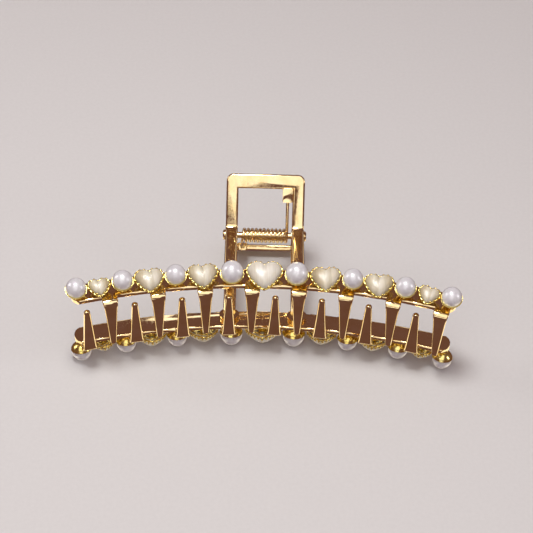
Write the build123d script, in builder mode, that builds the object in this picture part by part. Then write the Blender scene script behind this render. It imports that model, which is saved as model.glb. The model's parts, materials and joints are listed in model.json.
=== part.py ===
"""A gold-plated claw clip with pearl and heart-stone trim, modelled piece by piece.

The clip lies on its lower jaw. X runs along the hinge pin, the mouth opens towards -Y, and +Z is up.
Every jaw piece is drawn once, as the upper jaw's, in a frame whose origin is the middle of the pin.
The lower jaw is the same piece turned half a turn about the mouth axis, Y.
The clip's own origin is the bottom centre of its box, and Z = 0 is the surface that the lower pearls
and the lower handle rest on.
"""

from build123d import *
import math
import os

os.makedirs("parts", exist_ok=True)

# --- pearls and the bow of the jaws -------------------------------------------------------------
BOW_RADIUS = 180.0  # both jaws curve forward at their ends, to follow the head
PEARL_OUT = 27.5  # pearl row, forward of the pin at the middle of the jaw
PEARL_UP = 13.6  # pearl row, above the clip's middle plane
PEARL_X = (-52.7, -39.9, -25.1, -9.2, 9.2, 25.1, 39.9, 52.7)
PEARL_D = (5.7, 5.7, 5.7, 6.4, 6.4, 5.7, 5.7, 5.7)
PEARL_LEAN = 15.0  # degrees that a pearl's cup leans forward
BOW_Y = -(PEARL_OUT + BOW_RADIUS)  # the bow's centre
REST_HEIGHT = PEARL_UP + max(PEARL_D) / 2  # pin axis above the table
PIN_BACK = 14.73  # pin axis behind the middle of the clip's depth

# --- comb ---------------------------------------------------------------------------------------
BAND_WIDTH = 6.5
BAND_THICK = 1.5
BAND_OUT = 26.05
BAND_UP = 9.0
BAND_TILT = 2.9
BAND_HALF_LENGTH = 54.6
BAND_EDGE_R = 0.6
BAND_END_MARGIN = 0.1  # keeps the round end cut clear of the band's long edges
TEETH = 8
TOOTH_PITCH = 13.56
TOOTH_OFFSET = TOOTH_PITCH / 4  # each row is a quarter pitch off centre, so the two rows interleave
TOOTH_THICK = 1.3
TOOTH_FACE_OUT = 32.25  # front of the tooth, forward of the pin
TOOTH_OUTER_BEND_R = 1.9
TOOTH_INNER_BEND_R = 0.8
TOOTH_ROOT_REACH = 1.2  # how far the root runs back into the band
TOOTH_ROOT_INSET = 0.12  # the root's faces lie inside the band's
TOOTH_TIP_DOWN = 7.8
TOOTH_ROOT_HALF = 1.75
TOOTH_TIP_HALF = 0.9
TOOTH_EDGE_R = 0.35
TOOTH_GUSSET = 0.6
TOOTH_GUSSET_HEIGHT = 3.6

# --- handle -------------------------------------------------------------------------------------
HANDLE_WIDTH = 23.4
LEG_WIDTH = 3.6
LEG_THICK = 1.9
LEG_EDGE_R = 0.6
HANDLE_END = (10.0, 16.0)  # back and up, at the middle of the frame's thickness
HANDLE_BEND = (-0.9, 3.45)
HANDLE_BEND_R = 2.6
BAR_WIDTH = 4.3
BAR_EDGE_R = 0.5
CORNER_R = 2.1
ARM_END = (-24.6, 7.25)
FOOT_LENGTH = 4.6
FOOT_WIDTH = 5.9
FOOT_THICK = 1.1
FOOT_BACK = 0.6  # the foot's middle, behind the band's
LUG_R = 2.1
LUG_THICK = 1.65
LUG_ROOT = (-0.6, 3.9)
LUG_ROOT_R = 0.9
SOCKET_WIDTH = 3.1
SOCKET_LENGTH = 4.2
SOCKET_THICK = 2.3
SOCKET_DEPTH = 3.2
SOCKET_HOLE_R = 0.6
SOCKET_CORNER_R = 0.5
SOCKET_LAP = 0.2  # how far the block runs into the bar
DRILL_LEAD = 1.0

# --- hinge pin and spring -----------------------------------------------------------------------
PIN_R = 0.95
PIN_CLEARANCE = 0.05
HEAD_R = 1.6
HEAD_HEIGHT = 0.75
HEAD_DOME_R = 0.6
HEAD_GAP = 0.08
WIRE_D = 0.9
COIL_OUTER_D = 4.5
COIL_LENGTH = 14.2
SLEEVE_WALL = 1.0  # the plain sleeve that stands for the coil is a little thicker than the wire
SPRING_LEG_X = 6.65
SPRING_LEG_GAP = 0.6  # left free at the bottom of the socket

# --- trim ---------------------------------------------------------------------------------------
CUP_WALL = 0.35
CUP_RIM_BELOW = 0.3  # how far the cup's rim stays below the pearl's middle, as a share of its radius
CUP_GAP = 0.01
CUP_FOOT_R = 1.3
CUP_BELLY = 0.8  # radians from a cup's axis to the middle of its side
PEG_R = 0.45  # each pearl is half drilled and sits on a peg in its cup
PEG_LENGTH = 2.0
DRILL_GAP = 0.03
HEART_X = (-46.4, -32.5, -17.4, 0.0, 17.4, 32.5, 46.4)
HEART_W = (5.9, 8.0, 8.3, 9.9, 8.3, 8.0, 5.9)
HEART_OUT = 27.9
HEART_UP = 12.56
HEART_LEAN = 20.0
HEART_HEIGHT = 0.82  # a heart's height as a share of its width
STONE_WALL = 0.9  # straight side of a stone, hidden in its setting
DOME_SEAM = 70.0  # turns the dome's seam clear of the stone
STONE_DOME = 0.21  # dome height as a share of the stone's width
RIM = 0.5
SETTING_DEPTH = 1.5
STONE_GAP = 0.02
POST_R = 1.2
POST_OUT = 27.0
POST_SINK = 0.1  # the soldered post reaches a little into the band
POST_LENGTH = 1.85


def bowed(x):
    """Carries a shape made at the middle of the jaw to x along the bow."""
    turn = -math.degrees(math.asin(x / BOW_RADIUS))
    return Location((0, BOW_Y, 0), (0, 0, turn)) * Location((0, -BOW_Y, 0))


def write(shape, jaw, name):
    """Labels a jaw piece and writes it in its place on the upper or the lower jaw."""
    turn = 180 if jaw == "lower" else 0
    placed = Location((0, PIN_BACK, REST_HEIGHT), (0, turn, 0)) * shape
    placed.label = f"{jaw}_{name}"
    export_step(placed, f"parts/{placed.label}.step")


# --- comb: the bowed band with its teeth, one stamping --------------------------------------------
band_radius = -BOW_Y - BAND_OUT
half_angle = math.degrees(math.asin(BAND_HALF_LENGTH / band_radius))
round_angle = math.degrees(math.asin((BAND_HALF_LENGTH - BAND_WIDTH / 2) / band_radius))
end_dir = Vector(-math.sin(math.radians(half_angle)), math.cos(math.radians(half_angle)), 0)
end_plane = Plane((0, BOW_Y, 0), x_dir=end_dir, z_dir=(end_dir.Y, -end_dir.X, 0))
tooth_back = TOOTH_FACE_OUT - TOOTH_THICK
band_front = BAND_OUT + BAND_WIDTH / 2
band_top = BAND_UP + BAND_THICK / 2
band_bottom = BAND_UP - BAND_THICK / 2
root_end = -band_front + TOOTH_ROOT_REACH
root_top = band_top - TOOTH_ROOT_INSET
root_bottom = band_bottom + TOOTH_ROOT_INSET
tip_end = -TOOTH_TIP_DOWN
gusset_foot = band_top - TOOTH_GUSSET_HEIGHT
tooth_spots = [TOOTH_OFFSET + TOOTH_PITCH * (k - (TEETH - 1) / 2) for k in range(TEETH)]

with BuildPart() as tooth:
    with BuildSketch(Plane.YZ) as side_view:
        with BuildLine():
            Polyline(
                (root_end, root_top),
                (-TOOTH_FACE_OUT, root_top),
                (-TOOTH_FACE_OUT, tip_end),
                (-tooth_back, tip_end),
                (-tooth_back, root_bottom),
                (root_end, root_bottom),
                close=True,
            )
        make_face()
        corners = side_view.vertices()
        fillet(corners.sort_by_distance((-TOOTH_FACE_OUT, root_top))[0], radius=TOOTH_OUTER_BEND_R)
        fillet(corners.sort_by_distance((-tooth_back, root_bottom))[0], radius=TOOTH_INNER_BEND_R)
    extrude(amount=TOOTH_FACE_OUT, both=True)
    with BuildSketch(Plane.XZ):
        with BuildLine():
            flank = Line((TOOTH_TIP_HALF, tip_end + TOOTH_TIP_HALF), (TOOTH_ROOT_HALF, gusset_foot))
            gusset = TangentArc(
                flank @ 1, (TOOTH_ROOT_HALF + TOOTH_GUSSET, band_top), tangent=flank % 1
            )
            Polyline(gusset @ 1, (0, band_top), (0, tip_end))
            TangentArc((0, tip_end), flank @ 0, tangent=(1, 0))
        make_face()
        mirror(about=Plane.YZ)
    extrude(amount=TOOTH_FACE_OUT + BAND_WIDTH, both=True, mode=Mode.INTERSECT)
    rims = tooth.edges().filter_by(Axis.X, reverse=True).filter_by_position(
        Axis.Y, -TOOTH_FACE_OUT, root_end, inclusive=(True, False)
    )
    fillet(rims, radius=TOOTH_EDGE_R)

with BuildPart() as band:
    with BuildSketch(end_plane):
        with Locations(Location((band_radius, BAND_UP, 0), (0, 0, BAND_TILT))):
            RectangleRounded(BAND_WIDTH, BAND_THICK, BAND_EDGE_R)
    revolve(axis=Axis((0, BOW_Y, 0), (0, 0, -1)), revolution_arc=2 * half_angle)
    with BuildSketch():
        with BuildLine() as spine:
            CenterArc((0, BOW_Y), band_radius, 90 - round_angle, 2 * round_angle)
        SlotArc(spine.edges()[0], BAND_WIDTH + 2 * BAND_END_MARGIN)
    extrude(amount=BAND_UP + BAND_WIDTH, mode=Mode.INTERSECT)

with BuildPart() as comb:
    add(band.part)
    with Locations(*[bowed(x) for x in tooth_spots]):
        add(tooth.part)

# --- handle: one bent frame with two arms, their feet, the lugs and the spring's socket ------------
leg_x = (HANDLE_WIDTH - LEG_WIDTH) / 2
handle_end = Vector(0, *HANDLE_END)
handle_dir = (handle_end - Vector(0, *HANDLE_BEND)).normalized()
face_normal = Vector(0, -handle_dir.Z, handle_dir.Y)
bar_plane = Plane(handle_end - handle_dir * (BAR_WIDTH / 2), x_dir=(1, 0, 0), z_dir=face_normal)
leg_start = bar_plane.origin
socket_mouth = handle_end - handle_dir * (BAR_WIDTH + SOCKET_LENGTH)

# The spring's leg leaves its coil along a tangent and ends in the socket.
coil_r = (COIL_OUTER_D - WIRE_D) / 2
mouth_angle = math.atan2(socket_mouth.Z, socket_mouth.Y)
leg_angle = mouth_angle - math.asin(coil_r / socket_mouth.length)
spring_dir = Vector(0, math.cos(leg_angle), math.sin(leg_angle))
spring_start = Vector(0, -coil_r * spring_dir.Z, coil_r * spring_dir.Y)
spring_length = math.sqrt(socket_mouth.length**2 - coil_r**2)
socket_x = Vector(SPRING_LEG_X, 0, 0)
drill_start = socket_mouth + socket_x - spring_dir * DRILL_LEAD

with BuildPart() as bar:
    with BuildSketch(bar_plane):
        RectangleRounded(HANDLE_WIDTH, BAR_WIDTH, CORNER_R)
    extrude(amount=LEG_THICK / 2, both=True)
    bar_faces = bar.faces().filter_by(bar_plane)
    fillet(bar_faces.edges(), radius=BAR_EDGE_R)

with BuildPart() as handle:
    add(bar.part)
    for side in (-1, 1):
        with BuildLine(Plane.YZ.offset(side * leg_x)) as leg_path:
            FilletPolyline(
                (leg_start.Y, leg_start.Z), HANDLE_BEND, ARM_END, radius=HANDLE_BEND_R
            )
        with BuildSketch(Plane(leg_path.line @ 0, x_dir=(1, 0, 0), z_dir=leg_path.line % 0)):
            RectangleRounded(LEG_WIDTH, LEG_THICK, LEG_EDGE_R)
        sweep(path=leg_path.line)
        # The upper jaw's left lug is its inner one and its right lug its outer one.
        lug_inner = leg_x - LEG_WIDTH / 2 if side < 0 else leg_x + LEG_WIDTH / 2 - LUG_THICK
        lug_start = lug_inner if side > 0 else -lug_inner - LUG_THICK
        with BuildSketch(Plane.YZ.offset(lug_start)):
            Circle(LUG_R)
            with Locations(LUG_ROOT):
                Circle(LUG_ROOT_R)
            make_hull()
        extrude(amount=LUG_THICK)
    with BuildSketch(bar_plane):
        with Locations((SPRING_LEG_X, SOCKET_LAP - (BAR_WIDTH + SOCKET_LENGTH) / 2)):
            RectangleRounded(SOCKET_WIDTH, SOCKET_LENGTH, SOCKET_CORNER_R)
    extrude(amount=SOCKET_THICK / 2, both=True)
    with BuildSketch(Plane(drill_start, x_dir=(1, 0, 0), z_dir=spring_dir)):
        Circle(SOCKET_HOLE_R)
    extrude(amount=SOCKET_DEPTH + DRILL_LEAD, mode=Mode.SUBTRACT)
    with BuildSketch(Plane.YZ.offset(-HANDLE_WIDTH)):
        Circle(PIN_R + PIN_CLEARANCE)
    extrude(amount=2 * HANDLE_WIDTH, mode=Mode.SUBTRACT)

# --- feet of the arms: flared pads that lie against the band's inner face ---------------------------
foot_middle = Vector(0, FOOT_BACK - BAND_OUT, band_bottom)
foot_plane = Plane(foot_middle, x_dir=(1, 0, 0), z_dir=(0, 0, 1)).rotated((BAND_TILT, 0, 0))
with BuildPart() as footed_handle:
    add(handle.part)
    with BuildSketch(foot_plane):
        with Locations((-leg_x, 0), (leg_x, 0)):
            Ellipse(FOOT_WIDTH / 2, FOOT_LENGTH / 2)
    extrude(amount=-FOOT_THICK)

# --- hinge pin: a straight rivet with a domed head at each end --------------------------------------
pin_half = HANDLE_WIDTH / 2 + HEAD_GAP
with BuildPart() as hinge_pin:
    with BuildSketch(Plane.YZ.offset(-pin_half)):
        Circle(PIN_R)
    extrude(amount=2 * pin_half)
    for end in (-1, 1):
        with BuildSketch(Plane.YZ.offset(end * pin_half)):
            Circle(HEAD_R)
        extrude(amount=end * HEAD_HEIGHT)
    head_rims = hinge_pin.edges().filter_by(GeomType.CIRCLE).sort_by(Axis.X)
    fillet([head_rims[0], head_rims[-1]], radius=HEAD_DOME_R)

# --- torsion spring: its coil's outer shape as one sleeve, and its two straight legs ----------------
with BuildPart() as torsion_spring:
    with BuildSketch(Plane.YZ.offset(-COIL_LENGTH / 2)):
        Circle(coil_r + SLEEVE_WALL / 2)
        Circle(coil_r - SLEEVE_WALL / 2, mode=Mode.SUBTRACT)
    extrude(amount=COIL_LENGTH)
    with BuildSketch(Plane(spring_start + socket_x, x_dir=(1, 0, 0), z_dir=spring_dir)):
        Circle(WIRE_D / 2)
    upper_leg = extrude(amount=spring_length + SOCKET_DEPTH - SPRING_LEG_GAP)
    with Locations(Location((0, 0, 0), (0, 180, 0))):
        add(upper_leg)

# --- pearls and their cups --------------------------------------------------------------------------
pearl_lean = math.radians(PEARL_LEAN)
pearl_axis = Vector(0, -math.sin(pearl_lean), math.cos(pearl_lean))
pearl_plane = Plane((0, -PEARL_OUT, PEARL_UP), x_dir=(1, 0, 0), z_dir=pearl_axis)
cup_foot_end = -(PEARL_UP - band_top) / pearl_axis.Z


def half_section(spot):
    """The plane through a trim piece's own axis: x runs outwards and y along the axis."""
    return Plane(spot.origin, x_dir=spot.x_dir, z_dir=-spot.y_dir)


with BuildPart() as pearl_cups:
    for x, diameter in zip(PEARL_X, PEARL_D):
        spot = Plane(bowed(x) * pearl_plane.location)
        inner_r = diameter / 2 + CUP_GAP
        outer_r = inner_r + CUP_WALL
        rim_z = -CUP_RIM_BELOW * inner_r
        with BuildSketch(half_section(spot)):
            with BuildLine():
                peg = Polyline(
                    (PEG_R, -math.sqrt(inner_r**2 - PEG_R**2)),
                    (PEG_R, PEG_LENGTH - inner_r),
                    (0, PEG_LENGTH - inner_r),
                    (0, cup_foot_end),
                    (CUP_FOOT_R, cup_foot_end),
                    (CUP_FOOT_R, -math.sqrt(outer_r**2 - CUP_FOOT_R**2)),
                )
                outside = ThreePointArc(
                    peg @ 1,
                    (outer_r * math.sin(CUP_BELLY), -outer_r * math.cos(CUP_BELLY)),
                    (math.sqrt(outer_r**2 - rim_z**2), rim_z),
                )
                rim = Line(outside @ 1, (math.sqrt(inner_r**2 - rim_z**2), rim_z))
                ThreePointArc(
                    rim @ 1,
                    (inner_r * math.sin(CUP_BELLY), -inner_r * math.cos(CUP_BELLY)),
                    peg @ 0,
                )
            make_face()
        revolve(axis=Axis(spot.origin, spot.z_dir))

# --- heart settings and stones ----------------------------------------------------------------------
heart_lean = math.radians(HEART_LEAN)
heart_axis = Vector(0, -math.sin(heart_lean), math.cos(heart_lean))
heart_plane = Plane((0, -HEART_OUT, HEART_UP), x_dir=(1, 0, 0), z_dir=heart_axis)


def heart_outline(width):
    """A flat heart of that width, its point towards -y."""
    height = HEART_HEIGHT * width
    with BuildSketch() as outline:
        with BuildLine():
            lobe = ThreePointArc(
                (0, 0.37 * height), (0.26 * width, 0.5 * height), (0.5 * width, 0.16 * height)
            )
            flank = ThreePointArc(lobe @ 1, (0.325 * width, -0.2 * height), (0, -0.5 * height))
            Line(flank @ 1, lobe @ 0)
        make_face()
        mirror(about=Plane.YZ)
    return outline.sketch


# --- everything that both jaws carry, written once for each jaw ---------------------------------------
for jaw in ("lower", "upper"):
    write(comb.part, jaw, "comb")
    write(footed_handle.part, jaw, "handle")
    write(pearl_cups.part, jaw, "pearl_cups")

for number, (x, diameter) in enumerate(zip(PEARL_X, PEARL_D), start=1):
    spot = Plane(bowed(x) * pearl_plane.location)
    r = diameter / 2
    drill_r = PEG_R + DRILL_GAP
    drill_end = PEG_LENGTH - r + DRILL_GAP
    with BuildPart() as pearl:
        with BuildSketch(half_section(spot)):
            with BuildLine():
                drill = Polyline(
                    (0, r), (0, drill_end), (drill_r, drill_end), (drill_r, -math.sqrt(r**2 - drill_r**2))
                )
                ThreePointArc(drill @ 1, (r, 0), drill @ 0)
            make_face()
        revolve(axis=Axis(spot.origin, spot.z_dir))
    for jaw in ("lower", "upper"):
        write(pearl.part, jaw, f"pearl_{number}")

for number, (x, width) in enumerate(zip(HEART_X, HEART_W), start=1):
    spot = Plane(bowed(x) * heart_plane.location)
    dome = STONE_DOME * width
    dome_r = (width**2 / 4 + dome**2) / (2 * dome)
    with BuildPart() as heart_stone:
        with BuildSketch(spot.offset(-STONE_WALL)):
            add(heart_outline(width))
        extrude(amount=STONE_WALL + dome)
        with Locations(spot.from_local_coords((0, 0, dome - dome_r))):
            Sphere(dome_r, rotation=(0, DOME_SEAM, 0), mode=Mode.INTERSECT)
    with BuildPart() as heart_setting:
        with BuildSketch(spot.offset(-SETTING_DEPTH)):
            add(heart_outline(width))
            offset(amount=RIM)
        extrude(amount=SETTING_DEPTH)
        with BuildSketch(spot.offset(-STONE_WALL - STONE_GAP)):
            add(heart_outline(width))
            offset(amount=STONE_GAP)
        extrude(amount=SETTING_DEPTH, mode=Mode.SUBTRACT)
        with BuildSketch(Plane(bowed(x) * Plane((0, -POST_OUT, band_top - POST_SINK)).location)):
            Circle(POST_R)
        extrude(amount=POST_LENGTH)
    for jaw in ("lower", "upper"):
        write(heart_stone.part, jaw, f"heart_stone_{number}")
        write(heart_setting.part, jaw, f"heart_setting_{number}")

for axle_piece, label in ((hinge_pin, "hinge_pin"), (torsion_spring, "torsion_spring")):
    placed = Location((0, PIN_BACK, REST_HEIGHT)) * axle_piece.part
    placed.label = label
    export_step(placed, f"parts/{label}.step")
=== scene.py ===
"""Pearl and heart claw clip: plated metal, pearls and stones built round the clip's fixed frame.

Units are metres, and sizes in millimetres carry MM where they are used. X runs along the hinge
pin, the mouth opens towards -Y, and the clip lies on Z = 0. A jaw piece is modelled once, on the
upper jaw, and its copy for the lower jaw is turned half a turn about the hinge's Y axis.
"""

import json
import math

import bpy
from mathutils import Matrix, Vector


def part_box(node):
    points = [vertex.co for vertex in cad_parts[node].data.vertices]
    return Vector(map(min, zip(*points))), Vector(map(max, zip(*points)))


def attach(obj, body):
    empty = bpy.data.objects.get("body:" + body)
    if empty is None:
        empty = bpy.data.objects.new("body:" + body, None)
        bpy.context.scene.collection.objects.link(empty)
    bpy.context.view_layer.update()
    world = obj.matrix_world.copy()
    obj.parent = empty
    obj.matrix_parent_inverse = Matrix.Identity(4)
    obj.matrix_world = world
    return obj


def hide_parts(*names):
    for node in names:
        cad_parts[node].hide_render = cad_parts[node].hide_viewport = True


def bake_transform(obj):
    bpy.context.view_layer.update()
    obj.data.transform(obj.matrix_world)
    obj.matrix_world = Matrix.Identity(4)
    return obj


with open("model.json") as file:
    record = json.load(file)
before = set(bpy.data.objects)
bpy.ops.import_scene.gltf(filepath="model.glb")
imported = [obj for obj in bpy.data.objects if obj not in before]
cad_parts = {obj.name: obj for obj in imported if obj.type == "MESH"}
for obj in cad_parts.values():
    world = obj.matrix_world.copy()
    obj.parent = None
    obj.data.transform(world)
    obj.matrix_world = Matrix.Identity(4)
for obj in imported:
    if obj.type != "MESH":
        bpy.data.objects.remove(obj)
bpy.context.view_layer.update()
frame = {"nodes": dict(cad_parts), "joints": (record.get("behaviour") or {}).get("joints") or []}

MM = 0.001
JAWS = ("upper", "lower")
PEARLS = 8
hinge = Vector(frame["joints"][0]["pos_m"])


# --- places on the clip, read from the frame ------------------------------------------------------
def middle(node):
    """The centre of a node's box."""
    low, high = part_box(node)
    return (low + high) / 2


end_pearl = middle("upper_pearl_8")
near_pearl = middle("upper_pearl_5")


def bow_centre():
    """The point that both jaws are bowed about, from two pearls of one row."""
    rise = (near_pearl.x**2 - end_pearl.x**2) + (near_pearl.y**2 - end_pearl.y**2)
    return Vector((0, rise / (2 * (near_pearl.y - end_pearl.y)), 0))


BOW = bow_centre()
BOW_RADIUS = (Vector((near_pearl.x, near_pearl.y, 0)) - BOW).length
TO_HINGE = Matrix.Translation(hinge)
HALF_TURN = TO_HINGE @ Matrix.Rotation(math.pi, 4, "Y") @ TO_HINGE.inverted()


def along_bow(x):
    """Carries a piece made at the middle of the jaw to x along the bow."""
    turn = -math.asin(x / BOW_RADIUS)
    return Matrix.Translation(BOW) @ Matrix.Rotation(turn, 4, "Z") @ Matrix.Translation(-BOW)


# --- small modelling helpers ----------------------------------------------------------------------
def deselect():
    """Leaves edit mode with nothing selected."""
    if bpy.context.object and bpy.context.object.mode != "OBJECT":
        bpy.ops.object.mode_set(mode="OBJECT")
    bpy.ops.object.select_all(action="DESELECT")


def pick(obj):
    """Makes obj the one selected, active object."""
    deselect()
    obj.select_set(True)
    bpy.context.view_layer.objects.active = obj
    return obj


def named(name):
    """The object just added, named and with its place moved into its mesh."""
    obj = bpy.context.object
    obj.name = name
    obj.data.name = name
    bpy.ops.object.transform_apply(location=True, rotation=True, scale=True)
    return obj


def apply_modifiers(obj):
    """Turns a piece's modifiers into its mesh."""
    pick(obj)
    for modifier in list(obj.modifiers):
        bpy.ops.object.modifier_apply(modifier=modifier.name)


def smooth(obj, degrees=35):
    """Smooth shading that keeps edges sharper than degrees."""
    pick(obj)
    bpy.ops.object.shade_smooth_by_angle(angle=math.radians(degrees))
    return obj


def tidy_mesh(obj, gap=0.5e-6):
    """Merges doubled points and turns every face outwards."""
    pick(obj)
    bpy.ops.object.mode_set(mode="EDIT")
    bpy.ops.mesh.select_all(action="SELECT")
    bpy.ops.mesh.remove_doubles(threshold=gap)
    bpy.ops.mesh.normals_make_consistent(inside=False)
    bpy.ops.object.mode_set(mode="OBJECT")
    return obj


def join(pieces, name):
    """Joins loose solids into one piece."""
    deselect()
    for piece in pieces:
        piece.select_set(True)
    bpy.context.view_layer.objects.active = pieces[0]
    bpy.ops.object.join()
    pieces[0].name = name
    pieces[0].data.name = name
    return pieces[0]


def copy_of(obj, name, move=None):
    """A copy of obj with its own mesh, moved in its mesh."""
    twin = obj.copy()
    twin.data = obj.data.copy()
    twin.name = name
    twin.data.name = name
    bpy.context.scene.collection.objects.link(twin)
    if move is not None:
        twin.data.transform(move)
    return twin


def wire(name, points, radius, closed=False, sides=3):
    """A round wire bent through points, as a mesh."""
    deselect()
    bpy.ops.curve.primitive_bezier_curve_add(location=(0, 0, 0))
    obj = bpy.context.object
    curve = obj.data
    curve.splines.clear()
    spline = curve.splines.new("POLY")
    spline.points.add(len(points) - 1)
    for point, place in zip(spline.points, points):
        point.co = (*place, 1)
    spline.use_cyclic_u = closed
    curve.bevel_depth = radius
    curve.bevel_resolution = sides
    curve.use_fill_caps = not closed
    bpy.ops.object.convert(target="MESH")
    obj = named(name)
    return tidy_mesh(obj, 1e-8)


# --- materials ------------------------------------------------------------------------------------
def new_material(name):
    """A material with its node tree and its shader."""
    material = bpy.data.materials.new(name)
    material.use_nodes = True
    tree = material.node_tree
    shader = tree.nodes["Principled BSDF"]
    return material, tree, shader


def noise(tree, scale, detail=4.0, roughness=0.55, stretch=None):
    """A noise texture on object coordinates, scaled per metre."""
    place = tree.nodes.new("ShaderNodeTexCoord")
    mapping = tree.nodes.new("ShaderNodeMapping")
    if stretch:
        mapping.inputs["Scale"].default_value = stretch
    texture = tree.nodes.new("ShaderNodeTexNoise")
    texture.inputs["Scale"].default_value = scale
    texture.inputs["Detail"].default_value = detail
    texture.inputs["Roughness"].default_value = roughness
    tree.links.new(place.outputs["Object"], mapping.inputs["Vector"])
    tree.links.new(mapping.outputs["Vector"], texture.inputs["Vector"])
    return texture


def ramp(tree, factor, stops):
    """A colour ramp from (position, colour) stops."""
    node = tree.nodes.new("ShaderNodeValToRGB")
    while len(node.color_ramp.elements) < len(stops):
        node.color_ramp.elements.new(0.5)
    for element, (position, colour) in zip(node.color_ramp.elements, stops):
        element.position = position
        element.color = (*colour, 1) if len(colour) == 3 else colour
    tree.links.new(factor, node.inputs["Fac"])
    return node


def bumped(tree, shader, height, distance, strength):
    """Raises fine relief on a finish."""
    bump = tree.nodes.new("ShaderNodeBump")
    bump.inputs["Distance"].default_value = distance
    bump.inputs["Strength"].default_value = strength
    tree.links.new(height, bump.inputs["Height"])
    tree.links.new(bump.outputs["Normal"], shader.inputs["Normal"])


def plated_gold(name, light, deep, low_rough, high_rough, ripple):
    """Polished light gold plating: slight tone drift, fine handling marks, a faint ripple."""
    material, tree, shader = new_material(name)
    shader.inputs["Metallic"].default_value = 1.0
    drift = noise(tree, 220, 3)
    tone = ramp(tree, drift.outputs["Fac"], [(0.35, deep), (0.62, light)])
    tree.links.new(tone.outputs["Color"], shader.inputs["Base Color"])
    marks = noise(tree, 1500, 5, 0.6, stretch=(1, 0.35, 0.35))
    stops = [(0.42, (low_rough,) * 3), (0.72, (high_rough,) * 3)]
    rough = ramp(tree, marks.outputs["Fac"], stops)
    tree.links.new(rough.outputs["Color"], shader.inputs["Roughness"])
    waves = noise(tree, 420, 2)
    bumped(tree, shader, waves.outputs["Fac"], 0.05 * MM, ripple)
    return material


def pearl_lustre():
    """Shell pearl: cool grey-white body, soft coat, faint cloudy nacre."""
    material, tree, shader = new_material("pearl_lustre")
    cloud = noise(tree, 380, 3)
    stops = [(0.35, (0.76, 0.75, 0.78)), (0.65, (0.86, 0.86, 0.88))]
    tone = ramp(tree, cloud.outputs["Fac"], stops)
    tree.links.new(tone.outputs["Color"], shader.inputs["Base Color"])
    shader.inputs["Roughness"].default_value = 0.34
    shader.inputs["Metallic"].default_value = 0.2
    shader.inputs["Specular IOR Level"].default_value = 0.8
    shader.inputs["Coat Weight"].default_value = 0.9
    shader.inputs["Coat Roughness"].default_value = 0.16
    shader.inputs["Sheen Weight"].default_value = 0.1
    shader.inputs["Sheen Roughness"].default_value = 0.35
    shader.inputs["Sheen Tint"].default_value = (0.86, 0.80, 1.0, 1)
    shader.inputs["Subsurface Weight"].default_value = 0.1
    shader.inputs["Subsurface Radius"].default_value = (0.8, 0.7, 0.8)
    shader.inputs["Subsurface Scale"].default_value = 0.5 * MM
    grain = noise(tree, 2600, 2)
    bumped(tree, shader, grain.outputs["Fac"], 0.01 * MM, 0.25)
    return material


def cats_eye():
    """Cream cat's eye: fine fibres along the stone, a painted sheen of pale bands down its middle,
    and darker towards its sides.
    """
    material, tree, shader = new_material("cats_eye")
    place = tree.nodes.new("ShaderNodeUVMap")
    place.uv_map = "stone"
    split = tree.nodes.new("ShaderNodeSeparateXYZ")
    tree.links.new(place.outputs["UV"], split.inputs["Vector"])
    # This ramp across the stone paints the cat's-eye sheen as pale bands down the middle, and goes
    # darker towards both sides.
    band = ramp(
        tree,
        split.outputs["X"],
        [
            (0.02, (0.46, 0.36, 0.19)),
            (0.24, (0.66, 0.57, 0.38)),
            (0.40, (0.80, 0.75, 0.60)),
            (0.53, (0.60, 0.53, 0.37)),
            (0.62, (0.82, 0.77, 0.64)),
            (0.98, (0.54, 0.44, 0.26)),
        ],
    )
    pale = tree.nodes.new("ShaderNodeAttribute")
    pale.attribute_name = "paleness"
    lighten = tree.nodes.new("ShaderNodeMix")
    lighten.data_type = "RGBA"
    lighten.inputs["B"].default_value = (0.86, 0.84, 0.79, 1)
    tree.links.new(pale.outputs["Fac"], lighten.inputs["Factor"])
    tree.links.new(band.outputs["Color"], lighten.inputs["A"])
    mapping = tree.nodes.new("ShaderNodeMapping")
    mapping.inputs["Scale"].default_value = (1, 0.06, 1)
    tree.links.new(place.outputs["UV"], mapping.inputs["Vector"])
    fibre = tree.nodes.new("ShaderNodeTexNoise")
    fibre.inputs["Scale"].default_value = 34
    fibre.inputs["Detail"].default_value = 4
    tree.links.new(mapping.outputs["Vector"], fibre.inputs["Vector"])
    strands = ramp(tree, fibre.outputs["Fac"], [(0.3, (0.74, 0.70, 0.60)), (0.7, (1, 1, 1))])
    mix = tree.nodes.new("ShaderNodeMix")
    mix.data_type = "RGBA"
    mix.blend_type = "MULTIPLY"
    mix.inputs["Factor"].default_value = 0.6
    tree.links.new(lighten.outputs["Result"], mix.inputs["A"])
    tree.links.new(strands.outputs["Color"], mix.inputs["B"])
    tree.links.new(mix.outputs["Result"], shader.inputs["Base Color"])
    shader.inputs["Roughness"].default_value = 0.38
    shader.inputs["Coat Weight"].default_value = 0.2
    shader.inputs["Coat Roughness"].default_value = 0.12
    shader.inputs["Subsurface Weight"].default_value = 0.25
    shader.inputs["Subsurface Radius"].default_value = (1.0, 0.8, 0.5)
    shader.inputs["Subsurface Scale"].default_value = 0.8 * MM
    bumped(tree, shader, fibre.outputs["Fac"], 0.01 * MM, 0.15)
    return material


# Each plating: its lighter and deeper tone, its lowest and highest roughness, its ripple.
GOLD = plated_gold("plated_gold", (0.98, 0.79, 0.45), (0.93, 0.71, 0.35), 0.06, 0.18, 0.14)
TRIM_GOLD = plated_gold("trim_gold", (1.0, 0.86, 0.32), (0.98, 0.77, 0.22), 0.16, 0.32, 0.15)
WIRE_GOLD = plated_gold("wire_gold", (1.0, 0.84, 0.52), (0.94, 0.75, 0.42), 0.16, 0.28, 0.04)
PEARL = pearl_lustre()
STONE = cats_eye()


def finish_with(obj, material):
    """Gives a piece its one finish."""
    obj.data.materials.clear()
    obj.data.materials.append(material)
    return obj


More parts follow.
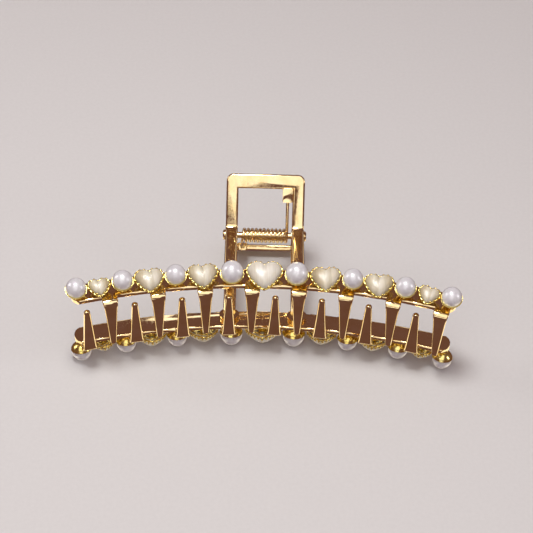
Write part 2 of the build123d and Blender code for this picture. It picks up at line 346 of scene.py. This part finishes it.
# --- plated pieces whose shape the frame already holds --------------------------------------------
def eased(node, name, width):
    """A copy of a node's metal with its sharp edges eased, as tumbling leaves them."""
    obj = copy_of(frame["nodes"][node], name)
    obj.parent = None
    for key in list(obj.keys()):
        del obj[key]
    tidy_mesh(obj, 2e-6)
    pick(obj)
    bpy.ops.object.mode_set(mode="EDIT")
    bpy.ops.mesh.select_all(action="SELECT")
    bpy.ops.mesh.dissolve_limited(angle_limit=math.radians(1))
    bpy.ops.object.mode_set(mode="OBJECT")
    bevel = obj.modifiers.new("ease", "BEVEL")
    bevel.width = width
    bevel.segments = 3
    bevel.limit_method = "ANGLE"
    bevel.angle_limit = math.radians(38)
    apply_modifiers(obj)
    return smooth(obj, 32)


def jaw_metal():
    """Combs and handles of both jaws."""
    for jaw in JAWS:
        body = f"{jaw}_jaw"
        for part, ease in (("comb", 0.2 * MM), ("handle", 0.45 * MM)):
            node = f"{jaw}_{part}"
            piece = finish_with(eased(node, f"{jaw}_plated_{part}", ease), GOLD)
            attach(piece, body)
            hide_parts(node)


# --- heart stones and their settings (millimetres, shares of a heart's width, degrees) ------------
HEART_X = (-46.4, -32.5, -17.4, 0.0, 17.4, 32.5, 46.4)
HEART_WIDTH = (5.9, 8.0, 8.3, 9.9, 8.3, 8.0, 5.9)
# The next row shifts the painted sheen bands across each stone.
HEART_SHEEN_SHIFT = (0.10, -0.06, 0.05, 0.0, -0.12, 0.08, -0.04)  # shift of the bands across a stone
HEART_PALE = (0.05, 0.15, 0.1, 0.6, 0.12, 0.1, 0.1)  # how far a stone fades to white
# Stones are set by hand, so each sits a few degrees round on its own axis.
HEART_SPIN = {"upper": (0, 0, 2, 0, 6, 6, -6), "lower": (2, -3, 0, 1, -2, 3, 0)}
HEART_PLACE = (0, -27.9, 12.56)  # middle heart, from the hinge
HEART_LEAN = math.radians(20)
HEART_HEIGHT = 0.82  # of its width
HEART_NOTCH = 0.37  # of its height, above its middle
STONE_WALL = 0.88  # straight side, hidden in the setting
STONE_DOME = 0.21  # of its width
STONE_CENTRE = -0.04  # where the dome closes, of its width
DOME_STEPS = 7
DOME_FULLNESS = 0.62  # 1 is round, less is a fuller cushion
ARC_POINTS = 13
# Of a setting: OUT grows the heart's outline, LEVEL is a height from the stone's edge, WIRE is a
# wire's radius, GAP is a spacing round the heart, and SHARE is a part of the heart's width.
GIRDLE_OUT, GIRDLE_LEVEL, GIRDLE_WIRE = 0.2, -0.62, 0.26
FOOT_SHARE, FOOT_LEVEL, FOOT_WIRE = 0.80, -1.1, 0.2
CLAW_OUT, CLAW_LEVEL, CLAW_RADIUS, CLAW_GAP = 0.1, -0.18, 0.37, 1.3
STRUT_OUT, STRUT_LEVEL, STRUT_WIRE, STRUT_GAP = 0.12, -0.6, 0.17, 2.2
LACE_SHARE, LACE_LEVEL, LACE_WIRE, LACE_LOOP = 0.52, -1.22, 0.17, 0.105
BASE_SHARE, BASE_LEVEL = 0.16, -1.36
POST_RADIUS = 1.2
POST_OUT = -27.0
POST_LOW = 9.65
POST_HIGH = 11.6

heart_spot = Matrix.Translation(hinge + Vector(HEART_PLACE) * MM)
heart_place = heart_spot @ Matrix.Rotation(HEART_LEAN, 4, "X")


def arc(start, through, end):
    """Points along the arc that starts, passes and ends at three points, without its end."""
    (ax, ay), (bx, by), (cx, cy) = start, through, end
    cross = 2 * (ax * (by - cy) + bx * (cy - ay) + cx * (ay - by))
    a2, b2, c2 = ax**2 + ay**2, bx**2 + by**2, cx**2 + cy**2
    mx = (a2 * (by - cy) + b2 * (cy - ay) + c2 * (ay - by)) / cross
    my = (a2 * (cx - bx) + b2 * (ax - cx) + c2 * (bx - ax)) / cross
    radius = math.hypot(ax - mx, ay - my)
    first = math.atan2(ay - my, ax - mx)
    last = math.atan2(cy - my, cx - mx)
    sweep = (last - first) % (2 * math.pi) - 2 * math.pi
    angles = [first + sweep * k / ARC_POINTS for k in range(ARC_POINTS)]
    return [(mx + radius * math.cos(a), my + radius * math.sin(a)) for a in angles]


def heart_outline(across, grow=0.0):
    """Points round a heart, its point towards -y, grown outwards; clockwise from the notch."""
    tall = HEART_HEIGHT * across
    notch_floor = (0, HEART_NOTCH * tall)
    lobe_top = (0.26 * across, 0.5 * tall)
    widest = (0.5 * across, 0.16 * tall)
    flank_middle = (0.325 * across, -0.2 * tall)
    point = (0, -0.5 * tall)
    half = [*arc(notch_floor, lobe_top, widest), *arc(widest, flank_middle, point), point]
    right = []
    for k, (x, y) in enumerate(half):
        before = half[max(k - 1, 0)]
        after = half[min(k + 1, len(half) - 1)]
        run = Vector((after[0] - before[0], after[1] - before[1])).normalized()
        right.append((x - grow * run.y, y + grow * run.x))
    right = [(x, y) for x, y in right if x > 0.02 * across]
    notch = (0, right[0][1] - 0.02 * across)
    tip = (0, -0.5 * tall - 1.25 * grow)
    left = [(-x, y) for x, y in reversed(right)]
    return [notch, *right, tip, *left]


def even_spots(points, gap):
    """Spots spaced evenly round a closed outline, about gap apart."""
    closed = [*points, points[0]]
    legs = [math.dist(a, b) for a, b in zip(closed, closed[1:])]
    count = round(sum(legs) / gap)
    spots = []
    for k in range(count):
        left = sum(legs) * k / count
        for (a, b), leg in zip(zip(closed, closed[1:]), legs):
            if left <= leg:
                spots.append((a[0] + (b[0] - a[0]) * left / leg, a[1] + (b[1] - a[1]) * left / leg))
                break
            left -= leg
    return spots


def cabochon(across):
    """A heart cut with straight sides below the setting's edge and a cushion dome above it."""
    outline = heart_outline(across)
    deselect()
    bpy.ops.mesh.primitive_circle_add(vertices=len(outline), radius=MM, fill_type="NGON")
    stone = named("heart_stone")
    for vertex, (x, y) in zip(stone.data.vertices, outline):
        vertex.co = (x * MM, y * MM, -STONE_WALL * MM)
    bpy.ops.object.mode_set(mode="EDIT")
    bpy.ops.mesh.select_all(action="SELECT")
    bpy.ops.mesh.extrude_region_move(TRANSFORM_OT_translate={"value": (0, 0, STONE_WALL * MM)})
    size, rise = 1.0, 0.0
    for step in range(1, DOME_STEPS):
        angle = math.radians(88) * step / DOME_STEPS
        next_size = math.cos(angle) ** DOME_FULLNESS
        next_rise = STONE_DOME * across * math.sin(angle)
        lift = (0, 0, (next_rise - rise) * MM)
        bpy.ops.mesh.extrude_region_move(TRANSFORM_OT_translate={"value": lift})
        bpy.ops.transform.resize(
            value=(next_size / size, next_size / size, 1),
            center_override=(0, STONE_CENTRE * across * MM, next_rise * MM),
        )
        size, rise = next_size, next_rise
    bpy.ops.mesh.poke(offset=0.01 * MM)
    bpy.ops.object.mode_set(mode="OBJECT")
    tidy_mesh(stone)
    return smooth(stone, 50)


def band_the_stone(stone, across, shift, pale):
    """Lays the stone map, which places the painted sheen bands, across the heart, and sets how pale
    this stone is.
    """
    tall = HEART_HEIGHT * across
    layer = stone.data.uv_layers[0] if stone.data.uv_layers else stone.data.uv_layers.new()
    layer.name = "stone"
    for loop in stone.data.loops:
        spot = stone.data.vertices[loop.vertex_index].co / MM
        layer.data[loop.index].uv = (spot.x / across + 0.5 + shift, spot.y / tall + 0.5)
    paleness = stone.data.attributes.new("paleness", "FLOAT", "POINT")
    paleness.data.foreach_set("value", [pale] * len(stone.data.vertices))


def bead(name, radius, stretch, place, segments=8, rings=6):
    """A grain of metal, stretched upwards."""
    deselect()
    bpy.ops.mesh.primitive_uv_sphere_add(segments=segments, ring_count=rings, radius=radius * MM)
    obj = bpy.context.object
    obj.scale = (1, 1, stretch)
    obj.location = Vector(place) * MM
    return named(name)


def ring(name, radius, thickness, place, turn):
    """One loop of the lace, a little longer than wide."""
    deselect()
    bpy.ops.mesh.primitive_torus_add(
        major_radius=radius * MM, minor_radius=thickness * MM, major_segments=14, minor_segments=6
    )
    obj = bpy.context.object
    obj.scale = (1, 0.8, 1)
    obj.rotation_euler = (0, 0, turn)
    obj.location = Vector(place) * MM
    return named(name)


def lifted(outline, height):
    """A flat outline in millimetres, carried to a height, in metres."""
    return [(x * MM, y * MM, height * MM) for x, y in outline]


def open_setting(across):
    """A claw setting: beaded edge, girdle and foot wires, struts, a lace of loops behind."""
    girdle = heart_outline(across, GIRDLE_OUT)
    foot = heart_outline(FOOT_SHARE * across)
    parts = [
        wire("girdle", lifted(girdle, GIRDLE_LEVEL), GIRDLE_WIRE * MM, closed=True, sides=2),
        wire("foot", lifted(foot, FOOT_LEVEL), FOOT_WIRE * MM, closed=True, sides=1),
    ]
    claw = bead("claw", CLAW_RADIUS, 1.5, (0, 0, 0))
    for x, y in even_spots(heart_outline(across, CLAW_OUT), CLAW_GAP):
        spot = Matrix.Translation(Vector((x, y, CLAW_LEVEL)) * MM)
        parts.append(copy_of(claw, "claw_copy", spot))
    bpy.data.objects.remove(claw)
    upper = lifted(even_spots(heart_outline(across, STRUT_OUT), STRUT_GAP), STRUT_LEVEL)
    lower = lifted(even_spots(foot, FOOT_SHARE * STRUT_GAP), FOOT_LEVEL)
    for strut in zip(upper, lower):
        parts.append(wire("strut", strut, STRUT_WIRE * MM, sides=1))
    loop_radius = LACE_LOOP * across
    for x, y in even_spots(heart_outline(LACE_SHARE * across), 1.75 * loop_radius):
        turn = math.atan2(y, x)
        parts.append(ring("lace", loop_radius, LACE_WIRE, (x, y, LACE_LEVEL), turn))
    parts.append(bead("base", BASE_SHARE * across, 0.12, (0, 0, BASE_LEVEL), 20, 8))
    return smooth(join(parts, "heart_setting"), 60)


def post():
    """The stem that is soldered to the band under a setting."""
    deselect()
    bpy.ops.mesh.primitive_cylinder_add(
        vertices=24,
        radius=POST_RADIUS * MM,
        depth=(POST_HIGH - POST_LOW) * MM,
        location=hinge + Vector((0, POST_OUT, (POST_LOW + POST_HIGH) / 2)) * MM,
    )
    stem = named("post")
    flare = stem.modifiers.new("flare", "BEVEL")
    flare.width = 0.25 * MM
    flare.segments = 2
    flare.limit_method = "ANGLE"
    apply_modifiers(stem)
    return smooth(stem)


def hearts():
    """Seven stones in claw settings on each jaw, each on its own post."""
    stem = post()
    for across in sorted(set(HEART_WIDTH)):
        stone = cabochon(across)
        setting = open_setting(across)
        for number, (x, this) in enumerate(zip(HEART_X, HEART_WIDTH), start=1):
            if this != across:
                continue
            for jaw in JAWS:
                turn = HALF_TURN if jaw == "lower" else Matrix.Identity(4)
                place = turn @ along_bow(x * MM)
                spin = Matrix.Rotation(math.radians(HEART_SPIN[jaw][number - 1]), 4, "Z")
                seat = place @ heart_place @ spin
                gem = copy_of(stone, f"{jaw}_cats_eye_{number}")
                band_the_stone(gem, across, HEART_SHEEN_SHIFT[number - 1], HEART_PALE[number - 1])
                gem.data.transform(seat)
                claws = copy_of(setting, f"{jaw}_claw_setting_{number}", seat)
                foot = copy_of(stem, f"{jaw}_post_{number}", place)
                claws = join([claws, foot], f"{jaw}_claw_setting_{number}")
                for piece, node, finish, name in (
                    (gem, f"{jaw}_heart_stone_{number}", STONE, "cats_eye"),
                    (claws, f"{jaw}_heart_setting_{number}", TRIM_GOLD, "gold"),
                ):
                    finish_with(piece, finish)
                    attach(piece, f"{jaw}_jaw")
                    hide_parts(node)
        bpy.data.objects.remove(stone)
        bpy.data.objects.remove(setting)
    bpy.data.objects.remove(stem)


# --- torsion spring (millimetres from the hinge) --------------------------------------------------
COIL_RADIUS = 1.8
WIRE_RADIUS = 0.46
COIL_END = 6.65
COIL_TURNS = 12
TURN_POINTS = 28
LEG_END = (5.903, 11.722)


def torsion_spring():
    """Twelve open turns of wire on the pin, a leg into each handle's socket."""
    # Each leg leaves the coil at a tangent that ends in its socket.
    reach = math.hypot(*LEG_END)
    heading = math.atan2(LEG_END[1], LEG_END[0]) - math.asin(COIL_RADIUS / reach)
    leave = math.atan2(math.cos(heading), -math.sin(heading))
    sweep = 2 * math.pi * COIL_TURNS - 2 * leave
    count = COIL_TURNS * TURN_POINTS
    points = [(-COIL_END, LEG_END[0], -LEG_END[1])]
    for k in range(count + 1):
        angle = -leave - sweep * k / count
        across = -COIL_END + 2 * COIL_END * k / count
        points.append((across, COIL_RADIUS * math.cos(angle), COIL_RADIUS * math.sin(angle)))
    points.append((COIL_END, *LEG_END))
    spring = wire("coil", [hinge + Vector(p) * MM for p in points], WIRE_RADIUS * MM, sides=3)
    smooth(spring, 50)
    finish_with(spring, WIRE_GOLD)
    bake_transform(spring)
    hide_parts("torsion_spring")


jaw_metal()
hearts()
torsion_spring()
for jaw in JAWS:
    finish_with(frame["nodes"][f"{jaw}_pearl_cups"], TRIM_GOLD)
    for number in range(1, PEARLS + 1):
        finish_with(frame["nodes"][f"{jaw}_pearl_{number}"], PEARL)
finish_with(frame["nodes"]["hinge_pin"], GOLD)


# --- stage, light and camera ----------------------------------------------------------------------
FLOOR_TONE = (0.68, 0.665, 0.655)
FLOOR_RADIUS = 1.6
FAR_TONE = (0.78, 0.74, 0.73, 1)
WARM_AIR = (0.92, 0.48, 0.46, 1)
WARM_AIR_STRENGTH = 0.15
CLIP = (0, 0, 0.01)
TABLE_LIGHT = (1.0, 0.92, 0.72)


def pale_floor():
    """A pale paper floor that stays pale where the lamps no longer reach."""
    material, tree, shader = new_material("pale_floor")
    shader.inputs["Roughness"].default_value = 0.8
    fleck = noise(tree, 900, 2)
    deeper = tuple(0.97 * c for c in FLOOR_TONE)
    tone = ramp(tree, fleck.outputs["Fac"], [(0.3, deeper), (0.7, FLOOR_TONE)])
    tree.links.new(tone.outputs["Color"], shader.inputs["Base Color"])
    place = tree.nodes.new("ShaderNodeTexCoord")
    reach = tree.nodes.new("ShaderNodeVectorMath")
    reach.operation = "LENGTH"
    tree.links.new(place.outputs["Object"], reach.inputs[0])
    glow = ramp(tree, reach.outputs["Value"], [(0.28, (0, 0, 0)), (0.95, (0.85, 0.85, 0.85))])
    shader.inputs["Emission Color"].default_value = FAR_TONE
    tree.links.new(glow.outputs["Color"], shader.inputs["Emission Strength"])
    return material


def studio():
    """The floor, the backdrop behind it and the dim warm air that plain metal picks up."""
    deselect()
    bpy.ops.mesh.primitive_circle_add(vertices=96, radius=FLOOR_RADIUS, fill_type="NGON")
    floor = finish_with(named("studio_floor"), pale_floor())
    floor.visible_glossy = False
    deselect()
    bpy.ops.mesh.primitive_uv_sphere_add(segments=64, ring_count=32, radius=FLOOR_RADIUS)
    backdrop = named("studio_backdrop")
    material, _, shader = new_material("backdrop")
    shader.inputs["Base Color"].default_value = (0, 0, 0, 1)
    shader.inputs["Specular IOR Level"].default_value = 0
    shader.inputs["Emission Color"].default_value = FAR_TONE
    shader.inputs["Emission Strength"].default_value = 0.85
    finish_with(backdrop, material)
    backdrop.visible_diffuse = False
    backdrop.visible_glossy = False
    backdrop.visible_transmission = False
    backdrop.visible_shadow = False
    world = bpy.data.worlds.new("studio")
    world.use_nodes = True
    background = world.node_tree.nodes["Background"]
    background.inputs["Color"].default_value = WARM_AIR
    background.inputs["Strength"].default_value = WARM_AIR_STRENGTH
    bpy.context.scene.world = world


def soft_light(name, place, aim, size, power, colour=(1, 1, 1)):
    """A rectangular lamp at place, turned towards aim."""
    light = bpy.data.lights.new(name, "AREA")
    light.shape = "RECTANGLE"
    light.size, light.size_y = size
    light.energy = power
    light.color = colour
    lamp = bpy.data.objects.new(name, light)
    lamp.location = place
    lamp.rotation_euler = (Vector(aim) - Vector(place)).to_track_quat("-Z", "Y").to_euler()
    bpy.context.scene.collection.objects.link(lamp)


CAMERA_DISTANCE = 0.4766
CAMERA_RISE = math.radians(47)
CAMERA_TURN = math.radians(-0.9)
CAMERA_ROLL = math.radians(2.03)
AIM_ACROSS = 0.61 * MM
AIM_UP = -9.34 * MM
LENS = 106.7


def camera():
    """A long lens in front of the clip and above it, with a slight roll."""
    forward = Vector(
        (
            -math.sin(CAMERA_TURN) * math.cos(CAMERA_RISE),
            math.cos(CAMERA_TURN) * math.cos(CAMERA_RISE),
            -math.sin(CAMERA_RISE),
        )
    )
    level = Vector((math.cos(CAMERA_TURN), math.sin(CAMERA_TURN), 0))
    upright = level.cross(forward)
    right = math.cos(CAMERA_ROLL) * level + math.sin(CAMERA_ROLL) * upright
    up = math.cos(CAMERA_ROLL) * upright - math.sin(CAMERA_ROLL) * level
    place = hinge + right * AIM_ACROSS + up * AIM_UP - forward * CAMERA_DISTANCE
    data = bpy.data.cameras.new("camera")
    data.lens = LENS
    data.sensor_width = 36
    data.clip_start = 0.01
    obj = bpy.data.objects.new("camera", data)
    facing = Matrix((right, up, -forward)).transposed().to_4x4()
    obj.matrix_world = Matrix.Translation(place) @ facing
    bpy.context.scene.collection.objects.link(obj)
    bpy.context.scene.camera = obj


studio()
soft_light("overhead", (-0.04, -0.24, 0.50), CLIP, (0.50, 0.52), 0.95)
soft_light("key", (-0.06, 0.0, 0.60), CLIP, (0.15, 0.15), 1.9)
soft_light("front", (-0.08, -0.54, 0.27), CLIP, (0.36, 0.10), 0.16)
soft_light("back", (0, 0.62, 0.10), CLIP, (0.90, 0.08), 0.30)
soft_light("left", (-0.50, 0.10, 0.26), CLIP, (0.14, 0.28), 0.5)
soft_light("right", (0.48, -0.10, 0.22), CLIP, (0.10, 0.24), 0.35)
# Three lamps under the floor stand for the light that a table throws back on the lower edges.
soft_light("low_left", (-0.27, 0.0, -0.29), (-0.27, 0, 0.01), (0.20, 0.50), 0.42, TABLE_LIGHT)
soft_light("low_right", (0.27, 0.0, -0.29), (0.27, 0, 0.01), (0.20, 0.50), 0.42, TABLE_LIGHT)
soft_light("low_middle", (0, 0.04, -0.29), (0, 0.04, 0.01), (0.30, 0.08), 0.10, TABLE_LIGHT)
camera()
bpy.context.scene.view_settings.view_transform = "Standard"
